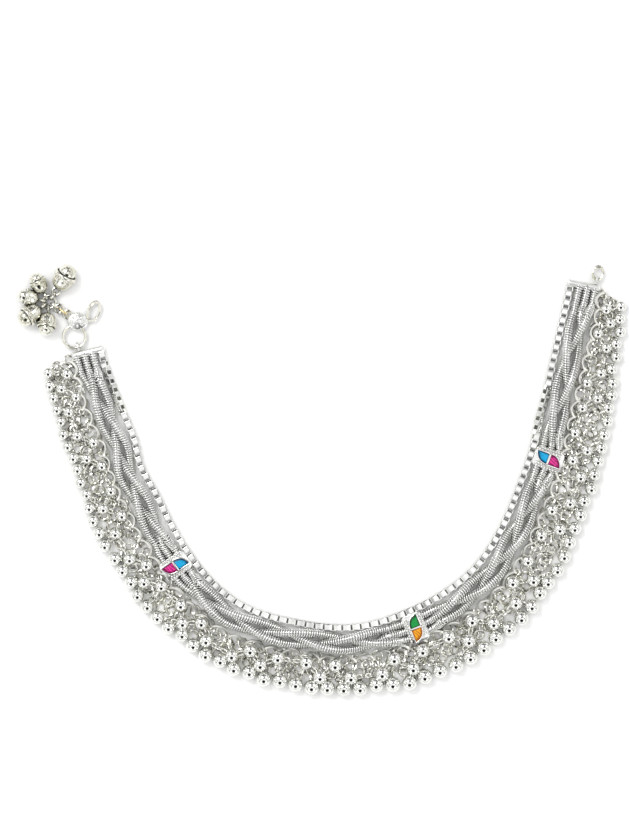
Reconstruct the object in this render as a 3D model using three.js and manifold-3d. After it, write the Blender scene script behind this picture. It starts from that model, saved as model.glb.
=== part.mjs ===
// A silver anklet of the payal kind, lying unfastened and open on a table.
// Millimetres, +Z up, the table top at z = 0, the open side of the U toward +Y.
import * as THREE from 'three';
import { mergeVertices } from 'three/addons/utils/BufferGeometryUtils.js';
import Module from 'manifold-3d';

const wasm = await Module();
wasm.setup();

// The inner edge of the band is a run of equal arcs from the hook end to the ring end.
// Each turn is in degrees to the left.
const bandStart = { x: -64.52, y: 39.59, heading: -75.24 };
const arcLength = 27.92;
const arcTurns = [9.7, -0.5, 30.1, 32.9, 27.8, 31.2, 13.0, 6.8, 2.6];
const bandLength = arcLength * arcTurns.length;

// How far outward of that edge the three layers lie, at places along the band:
// the middle of the box chain, the middle of the braid and the outer row of balls.
const bandSections = [
  { at: 0, chain: 1.6, braid: 6.7, fringe: 19.0 },
  { at: 26, chain: 0.9, braid: 6.2, fringe: 20.1 },
  { at: 36, chain: 2.6, braid: 7.6, fringe: 21.4 },
  { at: 47, chain: 1.8, braid: 7.3, fringe: 22.4 },
  { at: 66, chain: 1.0, braid: 6.2, fringe: 20.4 },
  { at: 84, chain: 1.2, braid: 6.1, fringe: 19.2 },
  { at: 105, chain: -0.3, braid: 4.6, fringe: 18.2 },
  { at: 124, chain: 0.6, braid: 5.4, fringe: 19.0 },
  { at: 138, chain: 0.3, braid: 5.5, fringe: 20.6 },
  { at: 168, chain: 1.9, braid: 6.9, fringe: 22.2 },
  { at: 200, chain: 0.4, braid: 5.7, fringe: 20.6 },
  { at: 213, chain: -0.7, braid: 4.4, fringe: 19.2 },
  { at: 232, chain: -1.3, braid: 3.7, fringe: 16.8 },
  { at: bandLength, chain: -1.2, braid: 4.0, fringe: 15.0 },
];

const clearance = 0.3;
const chainRadius = 1.1;
const chainSteps = 38;
const tubeSides = 8;

// Three coiled strands plaited flat. Under each enamel plate, and where they enter
// the end plates, they lie side by side. Between two such places they cross a few times.
const strandRadius = 1.05;
const strandSteps = 60;
const braidReach = 2.45;
const braidRise = 1.6;
const braidHeight = 2.75;
const flatReach = 2.85;
const flatHeight = 1.15;
const flatHalf = 4.2;
const flatFade = 4;
const plaitStart = 7.5;
const crossings = [6, 7, 6, 4];

// Enamel plates, by their place along the band, inner cell first.
const stations = [
  { name: 'left', at: 66, inner: 'enamel_blue', outer: 'enamel_pink' },
  { name: 'middle', at: 138.5, inner: 'enamel_green', outer: 'enamel_orange' },
  { name: 'right', at: 200, inner: 'enamel_blue', outer: 'enamel_pink' },
];
const plateSize = { along: 6.2, across: 8.8, thick: 0.8, corner: 1.3 };
const plateBottom = flatHeight + strandRadius + clearance;
const cellSize = { width: 2.8, length: 3.5, depth: 0.7, wall: 0.4, play: 0.2, base: 0.28 };
const colletHeight = 0.9;

// Ghungroo balls hang in an outer row and an inner zigzag row, joined by wire links.
// They are largest in the middle of the band. Their pitch is in radii. Past the split
// they belong to the right half.
const ballRadiusEnd = 1.62;
const ballRadiusGain = 0.5;
const ballPitch = 2.32;
const ballSides = 10;
const beadWaist = { radius: 0.95, height: 0.48 };
const firstBall = 1.6;
const fringeEnd = 1;
const innerSkip = 5;
const fringeJitter = 0.5;
const fringeLift = 0.6;
const fringeWire = 0.32;
const wireSides = 5;
const ringSides = 10;
const plateClear = 0.6;
const fringeSplit = 118;

// End plates, with a standing eye past each.
const endPlate = { along: 2.2, thick: 2.6, inner: 1.3, outer: 3.9 };
const linkWire = 0.3;
const linkHeight = 1.55;
const hookEye = { outward: 7.9, radius: 1.15, wire: 0.3, reach: 1.35 };
const ringEye = { outward: 6.2, radius: 1.1, wire: 0.3, reach: 1.3 };
const endRing = { radius: 1.5, stretch: 1.35 };

// Hook, rings and bells past the left end.
const hookWire = 0.4;
const hookSteps = 12;
const hookLoop = { x: -74.2, y: 43.95, radius: 3.35 };
const hookDisc = { x: -73.2, y: 48.6, radius: 3.15, flat: 0.86 };
const discProfile = [
  [0, -0.6],
  [0.9, -0.6],
  [1, 0],
  [0.75, 0.7],
  [0, 1.05],
];
const hookOval = { centre: { x: -68.4, y: 51.6 }, long: 2.95, short: 1.6, tilt: 1.22, open: 0.55 };
const smallRing = 1.2;
const ringStep = 1.6;
const earReach = 3.6;
const ringHeading = THREE.MathUtils.degToRad(146);
const bellRingRadius = 1.9;
const bellGrip = 2.15;
const bellLink = 1.55;
const bellEye = 1.1;
const bells = [
  { angle: 57, size: 1.34 },
  { angle: 119, size: 1.06 },
  { angle: 167, size: 1.04 },
  { angle: 215, size: 1.24 },
  { angle: 265, size: 1.14 },
];

// A bell's section from its crown down the outside, round the lip, up the inside
// and down the clapper, as radius and length.
const bellMouth = 2.65;
const bellLength = 5.8;
const bellProfile = [
  [0, 0],
  [1.4, 0.7],
  [2.1, 3.4],
  [bellMouth, bellLength],
  [2.25, bellLength],
  [1.65, 3.4],
  [0.8, 1.5],
  [0.4, 3.1],
  [1.35, 4.7],
  [0, 6.2],
];

// Moves the middle of the whole to the origin.
const centring = { x: 0.577, y: -1.688 };

const slots = {
  silver: { color: 0xe9e9e6, roughness: 0.2, metalness: 1 },
  coil_silver: { color: 0xdddcd6, roughness: 0.3, metalness: 1 },
  gilt_ring: { color: 0xd8b860, roughness: 0.3, metalness: 1 },
  enamel_blue: { color: 0x0f95cf, roughness: 0.12, metalness: 0 },
  enamel_pink: { color: 0xd8268c, roughness: 0.12, metalness: 0 },
  enamel_green: { color: 0x0c9a48, roughness: 0.12, metalness: 0 },
  enamel_orange: { color: 0xf0980f, roughness: 0.12, metalness: 0 },
};

const anklet = new THREE.Group();

function addNode(name, slot, geometry) {
  const mesh = new THREE.Mesh(geometry, new THREE.MeshStandardMaterial(slots[slot]));
  mesh.name = name;
  anklet.add(mesh);
}

// Place and heading on the inner edge, carried straight on past the far end.
function edgeAt(s) {
  let { x, y } = bandStart;
  let heading = THREE.MathUtils.degToRad(bandStart.heading);
  let left = s;
  for (const turn of arcTurns) {
    const run = THREE.MathUtils.clamp(left, 0, arcLength);
    const half = (THREE.MathUtils.degToRad(turn) * run) / arcLength / 2;
    const chord = half === 0 ? run : (run * Math.sin(half)) / half;
    x += chord * Math.cos(heading + half);
    y += chord * Math.sin(heading + half);
    heading += 2 * half;
    left -= run;
  }
  return { x: x + left * Math.cos(heading), y: y + left * Math.sin(heading), heading };
}

function bandPoint(s, outward, height) {
  const inside = Math.max(s, 0);
  const edge = edgeAt(inside);
  const before = s - inside;
  const x = edge.x + before * Math.cos(edge.heading) + outward * Math.sin(edge.heading);
  const y = edge.y + before * Math.sin(edge.heading) - outward * Math.cos(edge.heading);
  return new THREE.Vector3(x, y, height);
}

// Smooth value of one column of the band's sections at a place along it.
function columnAt(column, s) {
  const first = bandSections[0];
  const final = bandSections[bandSections.length - 1];
  if (s <= first.at) {
    return first[column];
  }
  if (s >= final.at) {
    return final[column];
  }
  const next = bandSections.findIndex((row) => row.at > s);
  const [a, b] = [bandSections[next - 1], bandSections[next]];
  const t = (s - a.at) / (b.at - a.at);
  const blend = t * t * (3 - 2 * t);
  return a[column] + (b[column] - a[column]) * blend;
}

function flatPlaces() {
  return [0, ...stations.map((station) => station.at), bandLength];
}

// 1 where the strands lie side by side, fading to 0 where they are plaited.
function flatness(s) {
  const near = Math.min(...flatPlaces().map((place) => Math.abs(s - place)));
  const t = THREE.MathUtils.clamp((near - flatHalf) / flatFade, 0, 1);
  return 1 - t * t * (3 - 2 * t);
}

function crossingsBefore(s) {
  const places = flatPlaces();
  let count = 0;
  for (const [index, whole] of crossings.entries()) {
    const from = places[index] + plaitStart;
    const to = places[index + 1] - plaitStart;
    count += whole * THREE.MathUtils.clamp((s - from) / (to - from), 0, 1);
  }
  return count;
}

function strandPoint(s, index) {
  const flat = flatness(s);
  const angle = (crossingsBefore(s) / 6 + index / 3) * 2 * Math.PI;
  const reach = braidReach + (flatReach - braidReach) * flat;
  const middle = braidHeight + (flatHeight - braidHeight) * flat;
  const outward = columnAt('braid', s) + reach * Math.sin(angle);
  const height = middle + braidRise * (1 - flat) * Math.sin(2 * angle);
  return bandPoint(s, outward, height);
}

// The same number from the same two whole numbers, between -0.5 and 0.5.
function jitter(index, salt) {
  const wave = Math.sin(index * 12.9898 + salt * 78.233) * 43758.5453;
  return wave - Math.floor(wave) - 0.5;
}

function placeFrom({ x, y }, reach, heading) {
  return { x: x + reach * Math.cos(heading), y: y + reach * Math.sin(heading) };
}

function ballRadius(s) {
  const swell = Math.sin((Math.PI * s) / bandLength);
  return ballRadiusEnd + ballRadiusGain * swell * swell;
}

// Solid and mesh forms of one closed shape.
function toSolid(geometry) {
  const bare = geometry.clone();
  bare.deleteAttribute('normal');
  bare.deleteAttribute('uv');
  const merged = mergeVertices(bare, 1e-5);
  const mesh = new wasm.Mesh({
    numProp: 3,
    vertProperties: new Float32Array(merged.attributes.position.array),
    triVerts: new Uint32Array(merged.index.array),
  });
  return new wasm.Manifold(mesh);
}

function toGeometry(solid) {
  const mesh = solid.getMesh();
  const geometry = new THREE.BufferGeometry();
  geometry.setAttribute('position', new THREE.BufferAttribute(mesh.vertProperties, 3));
  geometry.setIndex(new THREE.BufferAttribute(mesh.triVerts, 1));
  geometry.computeVertexNormals();
  return geometry;
}

function joined(shapes) {
  let solid = toSolid(shapes[0]);
  for (const shape of shapes.slice(1)) {
    solid = solid.add(toSolid(shape));
  }
  return solid;
}

function circleShape(radius, sides) {
  const points = [];
  for (let i = 0; i < sides; i += 1) {
    const angle = (i * 2 * Math.PI) / sides;
    points.push(new THREE.Vector2(radius * Math.cos(angle), radius * Math.sin(angle)));
  }
  return new THREE.Shape(points);
}

function tubeAlong(points, radius, sides, steps) {
  const extrudePath = new THREE.CatmullRomCurve3(points);
  return new THREE.ExtrudeGeometry(circleShape(radius, sides), { steps, extrudePath });
}

// A straight wire between two points, its ends buried in what it joins.
function wireBetween(a, b, radius) {
  const span = new THREE.Vector3().subVectors(b, a);
  const geometry = new THREE.CylinderGeometry(radius, radius, span.length(), wireSides);
  const up = new THREE.Vector3(0, 1, 0);
  const turn = new THREE.Quaternion().setFromUnitVectors(up, span.normalize());
  geometry.applyQuaternion(turn);
  const middle = new THREE.Vector3().addVectors(a, b).multiplyScalar(0.5);
  return geometry.translate(middle.x, middle.y, middle.z);
}

// A ten-sided bead standing on its pole, with one flat side turned to a place.
function ball({ centre, radius }, toward) {
  const profile = [
    new THREE.Vector2(0, -1),
    new THREE.Vector2(beadWaist.radius, -beadWaist.height),
    new THREE.Vector2(beadWaist.radius, beadWaist.height),
    new THREE.Vector2(0, 1),
  ];
  const bead = new THREE.LatheGeometry(profile, ballSides).rotateX(Math.PI / 2);
  bead.scale(radius, radius, radius);
  bead.rotateZ(Math.atan2(toward.y - centre.y, toward.x - centre.x));
  return bead.translate(centre.x, centre.y, centre.z);
}

// A closed wire ring or oval link. It lies flat before it is turned.
function wireRing({ radius, wire = linkWire, stretch = 1, sides = ringSides }) {
  return new THREE.TorusGeometry(radius, wire, wireSides, sides).scale(stretch, 1, 1);
}

// Box chain and coiled strands

function pathSamples(count, pointAt, from = clearance, to = bandLength - clearance) {
  const points = [];
  for (let i = 0; i <= count; i += 1) {
    points.push(pointAt(from + ((to - from) * i) / count));
  }
  return points;
}

function buildBoxChain() {
  const height = chainRadius;
  const middle = (s) => bandPoint(s, columnAt('chain', s), height);
  const points = pathSamples(2 * chainSteps, middle);
  addNode('box_chain', 'silver', tubeAlong(points, chainRadius, tubeSides, chainSteps));
}

function buildStrands() {
  for (const [index, letter] of ['a', 'b', 'c'].entries()) {
    const points = pathSamples(3 * strandSteps, (s) => strandPoint(s, index));
    const tube = tubeAlong(points, strandRadius, tubeSides, strandSteps);
    addNode(`coil_strand_${letter}`, 'coil_silver', tube);
  }
}

// Enamel plates

function plateShape() {
  const { along, across, corner } = plateSize;
  const [w, h] = [along / 2, across / 2];
  const shape = new THREE.Shape();
  shape.moveTo(-w + corner, -h);
  shape.lineTo(w - corner, -h);
  shape.quadraticCurveTo(w, -h, w, -h + corner);
  shape.lineTo(w, h - corner);
  shape.quadraticCurveTo(w, h, w - corner, h);
  shape.lineTo(-w + corner, h);
  shape.quadraticCurveTo(-w, h, -w, h - corner);
  shape.lineTo(-w, -h + corner);
  shape.quadraticCurveTo(-w, -h, -w + corner, -h);
  return shape;
}

// Half a leaf: a straight base on the x axis, a straight side and a bulging side.
// Margin moves all of its sides outward.
function halfLeafShape(margin) {
  const half = cellSize.width / 2 + margin;
  const tip = -cellSize.length - margin;
  const shape = new THREE.Shape();
  shape.moveTo(half, margin);
  shape.bezierCurveTo(half, 0.55 * tip, 0.4 * half, 0.85 * tip, -half, tip);
  shape.lineTo(-half, margin);
  shape.lineTo(half, margin);
  return shape;
}

function prism(shape, bottom, height, curveSegments = 3) {
  const options = { depth: height, bevelEnabled: false, curveSegments };
  return new THREE.ExtrudeGeometry(shape, options).translate(0, 0, bottom);
}

// The outer cell of a station is one half leaf. The inner one is it turned by half a turn.
function cellPrism(side, margin, bottom, height) {
  const leaf = prism(halfLeafShape(margin), bottom, height).translate(0, -cellSize.base, 0);
  return side === 'inner' ? leaf.rotateZ(Math.PI) : leaf;
}

function buildStation({ name, at, inner, outer }) {
  const place = bandPoint(at, columnAt('braid', at), 0);
  const heading = edgeAt(at).heading;
  const plateTop = plateBottom + plateSize.thick;
  const cellBottom = plateTop + colletHeight - cellSize.depth;
  const cells = Object.entries({ inner, outer });
  let plate = toSolid(prism(plateShape(), plateBottom, plateSize.thick, 2));
  for (const [side] of cells) {
    const rim = cellPrism(side, cellSize.play + cellSize.wall, plateBottom, plateSize.thick + colletHeight);
    plate = plate.add(toSolid(rim));
  }
  for (const [side] of cells) {
    const pocket = cellPrism(side, cellSize.play, cellBottom - cellSize.play, 2 * cellSize.depth);
    plate = plate.subtract(toSolid(pocket));
  }
  const placed = (geometry) => geometry.rotateZ(heading).translate(place.x, place.y, 0);
  addNode(`enamel_plate_${name}`, 'silver', placed(toGeometry(plate)));
  for (const [side, slot] of cells) {
    const cell = cellPrism(side, 0, cellBottom, cellSize.depth);
    addNode(`enamel_${name}_${side}`, slot, placed(cell));
  }
}

// Ghungroo fringe

function turnRate(s) {
  const index = Math.min(Math.floor(s / arcLength), arcTurns.length - 1);
  return THREE.MathUtils.degToRad(arcTurns[index]) / arcLength;
}

function outerBalls() {
  const balls = [];
  let s = firstBall;
  while (s < bandLength - fringeEnd) {
    const radius = ballRadius(s);
    const depth = columnAt('fringe', s);
    const outward = depth + fringeJitter * 2 * jitter(balls.length, 1);
    balls.push({ s, radius, centre: bandPoint(s, outward, radius) });
    s += (ballPitch * radius) / (1 + turnRate(s) * depth);
  }
  return balls;
}

// Between each two outer balls hangs one inner ball, by turns near and far. Every
// fifth is left out, as in the loose rows of the real fringe.
function innerBalls(outer) {
  const balls = [];
  for (let i = 0; i + 1 < outer.length; i += 1) {
    const s = (outer[i].s + outer[i + 1].s) / 2;
    const radius = ballRadius(s);
    const plaitEdge = columnAt('braid', s) + flatReach + strandRadius;
    const braidEdge = plaitEdge + plateClear * flatness(s) + clearance;
    const near = braidEdge + radius + fringeJitter * (0.5 + jitter(i, 2));
    const far = (near + columnAt('fringe', s)) / 2;
    const outward = i % 2 === 0 ? near : far;
    const lift = fringeLift * (0.5 + jitter(i, 3));
    if (i % innerSkip !== innerSkip - 1) {
      balls.push({ s, radius, centre: bandPoint(s, outward, radius + lift) });
    }
  }
  return balls;
}

function buildFringe() {
  const outer = outerBalls();
  const inner = innerBalls(outer);
  const halves = [
    { name: 'ghungroo_fringe_left', holds: (item) => item.s < fringeSplit },
    { name: 'ghungroo_fringe_right', holds: (item) => item.s >= fringeSplit },
  ];
  for (const { name, holds } of halves) {
    const near = inner.filter(holds);
    const shapes = [];
    for (const [index, item] of near.entries()) {
      const next = near[index + 1] ?? near[index - 1];
      shapes.push(ball(item, next.centre));
      if (near[index + 1]) {
        shapes.push(wireBetween(item.centre, next.centre, fringeWire));
      }
    }
    for (const hanging of outer.filter(holds)) {
      const gaps = near.map((item) => item.centre.distanceTo(hanging.centre));
      const carrier = near[gaps.indexOf(Math.min(...gaps))].centre;
      shapes.push(ball(hanging, carrier));
      shapes.push(wireBetween(hanging.centre, carrier, fringeWire));
    }
    addNode(name, 'silver', toGeometry(joined(shapes)));
  }
}

// End plates

// A flat bar across the chain and the strands at one end.
function endBar(s) {
  const [from, to] = s === 0 ? [-endPlate.along, 0] : [s, s + endPlate.along];
  const inner = columnAt('chain', s) - endPlate.inner;
  const outer = columnAt('braid', s) + endPlate.outer;
  const corners = [
    bandPoint(from, inner, 0),
    bandPoint(to, inner, 0),
    bandPoint(to, outer, 0),
    bandPoint(from, outer, 0),
  ];
  const outline = corners.map((point) => new THREE.Vector2(point.x, point.y));
  return prism(new THREE.Shape(outline), 0, endPlate.thick);
}

// A standing eye just past an end bar, in the plane of the band's run.
function endEye(s, { outward, radius, wire, reach }) {
  const past = s === 0 ? -endPlate.along - reach : s + endPlate.along + reach;
  const centre = bandPoint(past, outward, linkHeight);
  const eye = wireRing({ radius, wire });
  eye.rotateX(Math.PI / 2).rotateZ(edgeAt(s).heading);
  return eye.translate(centre.x, centre.y, centre.z);
}

function buildEndPlates() {
  const hookEnd = joined([endBar(0), endEye(0, hookEye)]);
  addNode('end_plate_hook', 'silver', toGeometry(hookEnd));
  const ringEnd = joined([endBar(bandLength), endEye(bandLength, ringEye)]);
  addNode('end_plate_ring', 'silver', toGeometry(ringEnd));
}

// The hook is a round loop through the eye, an embossed disc and an open oval hook.
// An ear on the disc carries the bells.

function hookCurve() {
  const { centre, long, short, tilt, open } = hookOval;
  const points = [];
  for (let i = 0; i <= hookSteps; i += 1) {
    const angle = Math.PI + open + (i * 2 * (Math.PI - open)) / hookSteps;
    const along = long * Math.cos(angle);
    const across = short * Math.sin(angle);
    const x = centre.x + along * Math.cos(tilt) - across * Math.sin(tilt);
    const y = centre.y + along * Math.sin(tilt) + across * Math.cos(tilt);
    points.push(new THREE.Vector3(x, y, linkHeight));
  }
  points.unshift(new THREE.Vector3(hookDisc.x, hookDisc.y, linkHeight));
  return points;
}

function discBody() {
  const { x, y, radius, flat } = hookDisc;
  const profile = discProfile.map(([out, up]) => new THREE.Vector2(out * radius, up));
  const disc = new THREE.LatheGeometry(profile, ringSides).rotateX(Math.PI / 2);
  return disc.scale(1, flat, 1).translate(x, y, linkHeight);
}

function buildHook() {
  const loop = wireRing({ radius: hookLoop.radius, wire: hookWire, sides: hookSteps });
  loop.translate(hookLoop.x, hookLoop.y, linkHeight);
  const oval = tubeAlong(hookCurve(), hookWire, wireSides, hookSteps);
  const ear = wireRing({ radius: smallRing });
  ear.translate(ringPlace(0).x, ringPlace(0).y, linkHeight);
  addNode('hook', 'silver', toGeometry(joined([discBody(), loop, oval, ear])));
}

// Rings from the ear on the disc to the big ring that carries the bells, by turns
// standing and lying flat, each through the next.

function ringPlace(index) {
  return placeFrom(hookDisc, earReach + index * ringStep, ringHeading);
}

function bellRingPlace() {
  return placeFrom(ringPlace(3), bellRingRadius, ringHeading);
}

function addRing(name, slot, place, radius, standing, heading) {
  const ring = wireRing({ radius });
  if (standing) {
    ring.rotateX(Math.PI / 2).rotateZ(heading);
  }
  addNode(name, slot, ring.translate(place.x, place.y, linkHeight));
}

function buildBellRings() {
  addRing('gilt_ring', 'gilt_ring', ringPlace(1), smallRing, true, ringHeading);
  addRing('jump_ring_flat', 'silver', ringPlace(2), smallRing, false, ringHeading);
  addRing('jump_ring_standing', 'silver', ringPlace(3), smallRing, true, ringHeading);
  addRing('bell_ring', 'silver', bellRingPlace(), bellRingRadius, false, ringHeading);
  const angle = THREE.MathUtils.degToRad(bells[0].angle);
  const place = placeFrom(bellRingPlace(), bellGrip, angle);
  addRing('jump_ring_bell', 'silver', place, smallRing, true, angle);
}

// A bell with its eye at the origin and its mouth toward +X. The clapper hangs inside.
function bellBody(size, eyeFlat) {
  const profile = bellProfile.map(([radius, along]) => new THREE.Vector2(radius, -along));
  const cup = new THREE.LatheGeometry(profile.reverse(), ballSides).rotateZ(Math.PI / 2);
  cup.scale(size, size, size).translate(smallRing, 0, 0);
  const eye = wireRing({ radius: bellEye, sides: 8 });
  if (!eyeFlat) {
    eye.rotateX(Math.PI / 2);
  }
  return { cup, eye };
}

function buildBells() {
  for (const [index, bell] of bells.entries()) {
    const angle = THREE.MathUtils.degToRad(bell.angle);
    const linked = index === 0;
    const { cup, eye } = bellBody(bell.size, linked);
    const mouth = bellMouth * bell.size;
    const rise = Math.asin((mouth - linkHeight) / (bellLength * bell.size + smallRing));
    const { x, y } = placeFrom(bellRingPlace(), bellGrip + (linked ? bellLink : 0), angle);
    const solid = joined([cup.rotateY(-rise), eye]);
    const geometry = toGeometry(solid).rotateZ(angle).translate(x, y, linkHeight);
    addNode(`bell_${index + 1}`, 'silver', geometry);
  }
}

function buildRingEnd() {
  const heading = edgeAt(bandLength).heading;
  const grip = endPlate.along + ringEye.reach + endRing.radius * endRing.stretch;
  const first = bandPoint(bandLength + grip, ringEye.outward, 0);
  const ring = wireRing(endRing);
  ring.rotateZ(heading).translate(first.x, first.y, linkHeight);
  addNode('end_ring', 'silver', ring);
}

buildBoxChain();
buildStrands();
stations.forEach(buildStation);
buildFringe();
buildEndPlates();
buildHook();
buildBellRings();
buildBells();
buildRingEnd();
anklet.position.set(centring.x, centring.y, 0);

export default anklet;
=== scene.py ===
# A silver anklet of the payal kind, lying open on a pale table.
# Shapes are worked out in millimetres and made metres when a piece is finished.
import math

import bmesh
import bpy
from mathutils import Matrix, Vector


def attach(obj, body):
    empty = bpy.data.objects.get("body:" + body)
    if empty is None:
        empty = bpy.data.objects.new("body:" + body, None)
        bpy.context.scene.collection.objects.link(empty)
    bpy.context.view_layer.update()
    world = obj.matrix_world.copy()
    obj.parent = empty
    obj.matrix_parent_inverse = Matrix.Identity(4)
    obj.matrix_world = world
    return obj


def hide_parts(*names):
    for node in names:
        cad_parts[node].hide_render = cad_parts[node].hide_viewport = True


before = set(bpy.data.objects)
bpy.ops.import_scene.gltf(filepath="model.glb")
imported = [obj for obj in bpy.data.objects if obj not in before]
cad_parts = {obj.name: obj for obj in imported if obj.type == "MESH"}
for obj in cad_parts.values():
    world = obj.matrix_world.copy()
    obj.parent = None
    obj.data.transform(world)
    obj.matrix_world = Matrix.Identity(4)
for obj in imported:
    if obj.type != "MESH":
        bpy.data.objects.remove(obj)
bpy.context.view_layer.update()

# The band: its inner edge is a run of equal arcs, turning left by these degrees.
# Each section gives a place along it, and how far outward of it the chain, the braid
# and the outer balls lie there.
band = {
    "start": (-64.52, 39.59),
    "heading": -75.24,
    "arc": 27.92,
    "turns": (9.7, -0.5, 30.1, 32.9, 27.8, 31.2, 13.0, 6.8, 2.6),
    "length": 251.28,
    "centring": (0.577, -1.688, 0.0),
    "clearance": 0.3,
    "sections": (
        (0.0, 1.6, 6.7, 19.0),
        (26.0, 0.9, 6.2, 20.1),
        (36.0, 2.6, 7.6, 21.4),
        (47.0, 1.8, 7.3, 22.4),
        (66.0, 1.0, 6.2, 20.4),
        (84.0, 1.2, 6.1, 19.2),
        (105.0, -0.3, 4.6, 18.2),
        (124.0, 0.6, 5.4, 19.0),
        (138.0, 0.3, 5.5, 20.6),
        (168.0, 1.9, 6.9, 22.2),
        (200.0, 0.4, 5.7, 20.6),
        (213.0, -0.7, 4.4, 19.2),
        (232.0, -1.3, 3.7, 16.8),
        (251.28, -1.2, 4.0, 15.0),
    ),
}
chainColumn, braidColumn, fringeColumn = 1, 2, 3


def edgeAt(s):
    x, y = band["start"]
    heading = math.radians(band["heading"])
    left = s
    for turn in band["turns"]:
        run = min(max(left, 0.0), band["arc"])
        half = math.radians(turn) * run / band["arc"] / 2
        chord = run if half == 0 else run * math.sin(half) / half
        x += chord * math.cos(heading + half)
        y += chord * math.sin(heading + half)
        heading += 2 * half
        left -= run
    if s < 0:
        left = s
    return x + left * math.cos(heading), y + left * math.sin(heading), heading


def bandPoint(s, outward, height):
    x, y, heading = edgeAt(s)
    return Vector((x + outward * math.sin(heading), y - outward * math.cos(heading), height))


def bandMatrix(s, outward, height, roll=0.0):  # X along the band, Y inward, Z up
    place = Matrix.Translation(bandPoint(s, outward, height))
    return place @ Matrix.Rotation(edgeAt(s)[2], 4, "Z") @ Matrix.Rotation(roll, 4, "X")


def sectionAt(column, s):
    rows = band["sections"]
    if s <= rows[0][0]:
        return rows[0][column]
    for a, b in zip(rows, rows[1:]):
        if s < b[0]:
            t = (s - a[0]) / (b[0] - a[0])
            return a[column] + (b[column] - a[column]) * t * t * (3 - 2 * t)
    return rows[-1][column]


# A fixed scatter from -0.5 to 0.5: the same number from the same two whole numbers.
# Each use has a salt of its own.
def jitter(index, salt):
    wave = math.sin(index * 12.9898 + salt * 78.233) * 43758.5453
    return wave - math.floor(wave) - 0.5


def smoothStep(value, low, high):
    t = min(max((value - low) / (high - low), 0.0), 1.0)
    return t * t * (3 - 2 * t)


# Small shape helpers
quarterTurn = math.pi / 2
upright = Matrix.Rotation(quarterTurn, 4, "X")
boxCorner = math.radians(60)  # edges sharper than this are the ones to round


def newShape():
    return bmesh.new()


def toMesh(bm, name="scrap"):
    mesh = bpy.data.meshes.new(name)
    bm.to_mesh(mesh)
    bm.free()
    return mesh


def closedMesh(bm):
    bmesh.ops.recalc_face_normals(bm, faces=bm.faces)
    return toMesh(bm)


def sharpEdges(bm):
    return [edge for edge in bm.edges if edge.calc_face_angle(0.0) > boxCorner]


def bevelEdges(bm, edges, offset, segments):
    bmesh.ops.bevel(bm, geom=edges, offset=offset, segments=segments, profile=0.5,
                    affect="EDGES", material=-1)


def spinRound(bm, steps, apart):  # a full turn about Z, closed on itself
    bmesh.ops.spin(
        bm, geom=bm.verts[:] + bm.edges[:], axis=(0, 0, 1), cent=(0, 0, 0),
        steps=steps, angle=2 * math.pi, use_merge=True)
    bmesh.ops.remove_doubles(bm, verts=bm.verts, dist=apart)


def stamp(bm, mesh, matrix, finish=0):  # adds a moved copy of a small mesh
    copy = mesh.copy()
    copy.transform(matrix)
    before = len(bm.faces)
    bm.from_mesh(copy)
    bm.faces.ensure_lookup_table()
    for face in bm.faces[before:]:
        face.material_index = finish
    bpy.data.meshes.remove(copy)


def torusMesh(radius, wire, stretch, around, across):
    bm = newShape()
    tube = bmesh.ops.create_circle(bm, radius=wire, segments=across)["verts"]
    bmesh.ops.transform(bm, matrix=Matrix.Translation((radius, 0, 0)) @ upright, verts=tube)
    spinRound(bm, around, wire / 50)
    bmesh.ops.scale(bm, vec=(stretch, 1, 1), verts=bm.verts)
    return closedMesh(bm)


def sphereMesh(radius, around, up):
    bm = newShape()
    bmesh.ops.create_uvsphere(bm, u_segments=around, v_segments=up, radius=radius)
    return toMesh(bm)


def latheMesh(profile, steps):  # profile is radius and height, closed on the axis at both ends
    bm = newShape()
    chain = [bm.verts.new((radius, 0, height)) for radius, height in profile]
    for a, b in zip(chain, chain[1:]):
        bm.edges.new((a, b))
    spinRound(bm, steps, 0.001)
    return closedMesh(bm)


def wireMesh(paths, radius, resolution=1):
    curve = bpy.data.curves.new("wire", "CURVE")
    curve.dimensions = "3D"
    curve.bevel_depth = radius
    curve.bevel_resolution = resolution
    curve.use_fill_caps = True
    for path in paths:
        spline = curve.splines.new("POLY")
        spline.points.add(len(path) - 1)
        for point, place in zip(spline.points, path):
            point.co = (place[0], place[1], place[2], 1.0)
    holder = bpy.data.objects.new("wire", curve)
    mesh = bpy.data.meshes.new_from_object(holder)
    bpy.data.objects.remove(holder)
    return mesh


def smoothPath(points, steps):  # a Catmull-Rom curve through the points
    path = []
    last = len(points) - 1
    for i in range(last):
        a = points[max(i - 1, 0)]
        b, c = points[i], points[i + 1]
        d = points[min(i + 2, last)]
        for k in range(steps):
            t = k / steps
            path.append(0.5 * (2 * b + (c - a) * t + (2 * a - 5 * b + 4 * c - d) * t ** 2
                               + (3 * b - a - 3 * c + d) * t ** 3))
    path.append(points[last])
    return path


# Millimetres become metres about the CAD's own middle. Edges sharper than the given
# degrees stay crisp.
def finishPiece(bm, name, node, slotName, *materials, sharp=35):
    for edge in bm.edges:
        edge.smooth = edge.calc_face_angle(0.0) < math.radians(sharp)
    for face in bm.faces:
        face.smooth = True
    bmesh.ops.translate(bm, vec=band["centring"], verts=bm.verts)
    bmesh.ops.scale(bm, vec=(0.001, 0.001, 0.001), verts=bm.verts)
    triangles = sum(len(face.verts) - 2 for face in bm.faces)
    mesh = toMesh(bm, name)
    for material in materials:
        mesh.materials.append(material)
    piece = bpy.data.objects.new(name, mesh)
    bpy.context.scene.collection.objects.link(piece)
    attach(piece, "root")
    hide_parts(node)
    print(name, triangles, "triangles")


# Materials
def addNode(tree, kind, **settings):
    node = tree.nodes.new(kind)
    for key, value in settings.items():
        setattr(node, key, value)
    return node


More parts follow.
